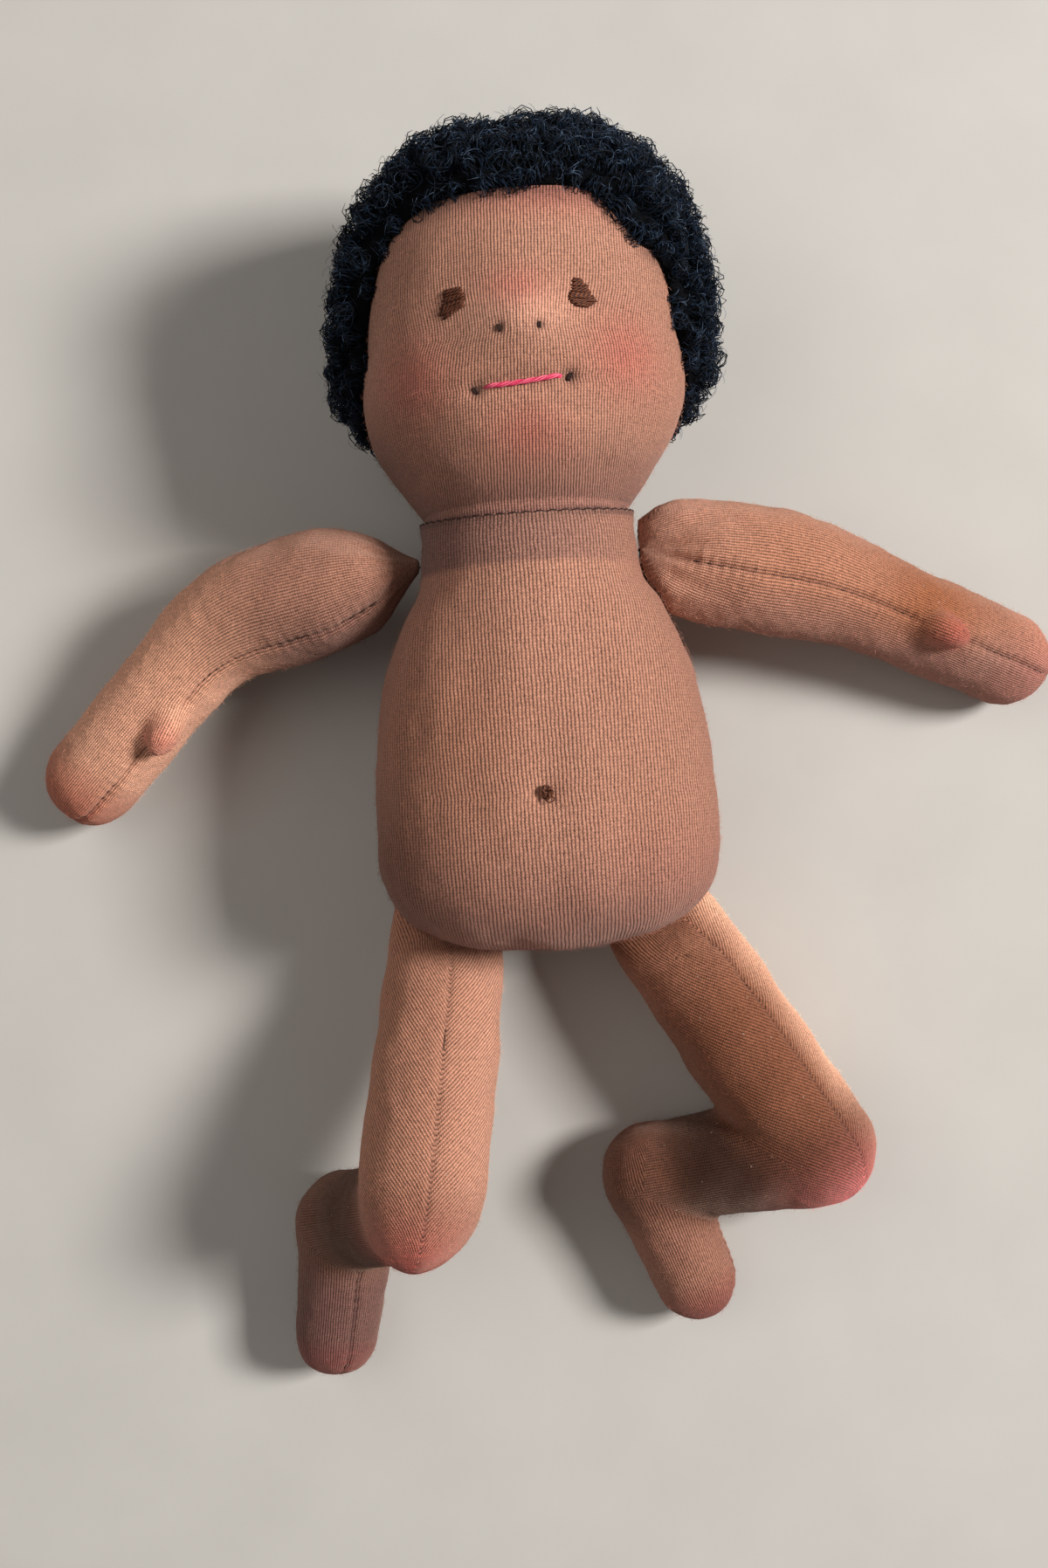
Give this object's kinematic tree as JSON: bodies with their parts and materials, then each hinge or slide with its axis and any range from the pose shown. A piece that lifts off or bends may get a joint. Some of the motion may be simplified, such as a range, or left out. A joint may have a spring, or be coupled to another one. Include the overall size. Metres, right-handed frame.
{
  "type": "stuffed doll",
  "caption": "Small stuffed baby doll of brown jersey over wool, lying on its back, with a turning head, thread-jointed arms and bent legs, embroidered face and curly mohair cap",
  "frame": {"origin": "middle of the flat of the back, on the surface that the doll lies on", "axes": "+Z out of the doll's front, +Y from the hips to the crown, +X to the doll's left side"},
  "size_m": [0.2178, 0.2551, 0.071],
  "materials": {
    "torso_knit": "brown cotton jersey, fine ribs, matt",
    "head_knit": "brown cotton jersey stretched over wool, matt",
    "limb_knit": "brown cotton jersey cut partly on the bias, matt",
    "wool_stuffing": "carded wool, loose fibre",
    "mohair": "blue-black looped mohair, fuzzy",
    "brown_floss": "stranded cotton floss, satin",
    "pink_floss": "stranded cotton floss, twisted",
    "sewing_thread": "dark brown sewing thread",
    "tying_string": "undyed twisted string"
  },
  "bodies": {
    "torso": {"torso_skin": "torso_knit", "torso_stuffing": "wool_stuffing", "neck_seam_thread": "sewing_thread", "navel_knot": "brown_floss"},
    "head": {"head_skin": "head_knit", "head_core": "wool_stuffing", "neck_string": "tying_string", "eye_line_string": "tying_string", "wig_cap": "mohair", "eye_right": "brown_floss", "eye_left": "brown_floss", "mouth_thread": "pink_floss", "nostril_stitch_right": "sewing_thread", "nostril_stitch_left": "sewing_thread", "mouth_corner_stitch_right": "sewing_thread", "mouth_corner_stitch_left": "sewing_thread"},
    "shoulder_thread_right_body": {"shoulder_thread_right": "sewing_thread"},
    "arm_right": {"arm_skin_right": "limb_knit", "arm_stuffing_right": "wool_stuffing", "arm_seam_thread_right": "sewing_thread"},
    "hip_thread_right_body": {"hip_thread_right": "sewing_thread"},
    "leg_right": {"leg_skin_right": "limb_knit", "leg_stuffing_right": "wool_stuffing", "thigh_seam_thread_right": "sewing_thread", "foot_seam_thread_right": "sewing_thread"},
    "shoulder_thread_left_body": {"shoulder_thread_left": "sewing_thread"},
    "arm_left": {"arm_skin_left": "limb_knit", "arm_stuffing_left": "wool_stuffing", "arm_seam_thread_left": "sewing_thread"},
    "hip_thread_left_body": {"hip_thread_left": "sewing_thread"},
    "leg_left": {"leg_skin_left": "limb_knit", "leg_stuffing_left": "wool_stuffing", "thigh_seam_thread_left": "sewing_thread", "foot_seam_thread_left": "sewing_thread"}
  },
  "joints": [
    {"name": "head_turn", "type": "hinge", "parent": "torso", "child": "head", "pos_m": [0, 0.046, 0.0305], "axis": [0, 1, 0], "range_deg": [-45, 45]},
    {"name": "shoulder_swing_right", "type": "hinge", "parent": "torso", "child": "shoulder_thread_right_body", "pos_m": [-0.0234, 0.0393, 0.0305], "axis": [0, 1, 0], "range_deg": [-8, 55]},
    {"name": "shoulder_raise_right", "type": "hinge", "parent": "shoulder_thread_right_body", "child": "arm_right", "pos_m": [-0.0234, 0.0393, 0.0305], "axis": [0, 0, -1], "range_deg": [-12, 38]},
    {"name": "shoulder_swing_left", "type": "hinge", "parent": "torso", "child": "shoulder_thread_left_body", "pos_m": [0.0234, 0.0393, 0.0305], "axis": [0, -1, 0], "range_deg": [-10, 55]},
    {"name": "shoulder_raise_left", "type": "hinge", "parent": "shoulder_thread_left_body", "child": "arm_left", "pos_m": [0.0234, 0.0393, 0.0305], "axis": [0, 0, 1], "range_deg": [-8, 34]},
    {"name": "hip_flex_right", "type": "hinge", "parent": "torso", "child": "hip_thread_right_body", "pos_m": [-0.0226, -0.03745, 0.0165], "axis": [-1, 0, 0], "range_deg": [-40, 12]},
    {"name": "hip_spread_right", "type": "hinge", "parent": "hip_thread_right_body", "child": "leg_right", "pos_m": [-0.0226, -0.03745, 0.0165], "axis": [0, 0, -1], "range_deg": [-10, 30]},
    {"name": "hip_flex_left", "type": "hinge", "parent": "torso", "child": "hip_thread_left_body", "pos_m": [0.0226, -0.03745, 0.0165], "axis": [-1, 0, 0], "range_deg": [-30, 36]},
    {"name": "hip_spread_left", "type": "hinge", "parent": "hip_thread_left_body", "child": "leg_left", "pos_m": [0.0226, -0.03745, 0.0165], "axis": [0, 0, 1], "range_deg": [-14, 30]}
  ]
}
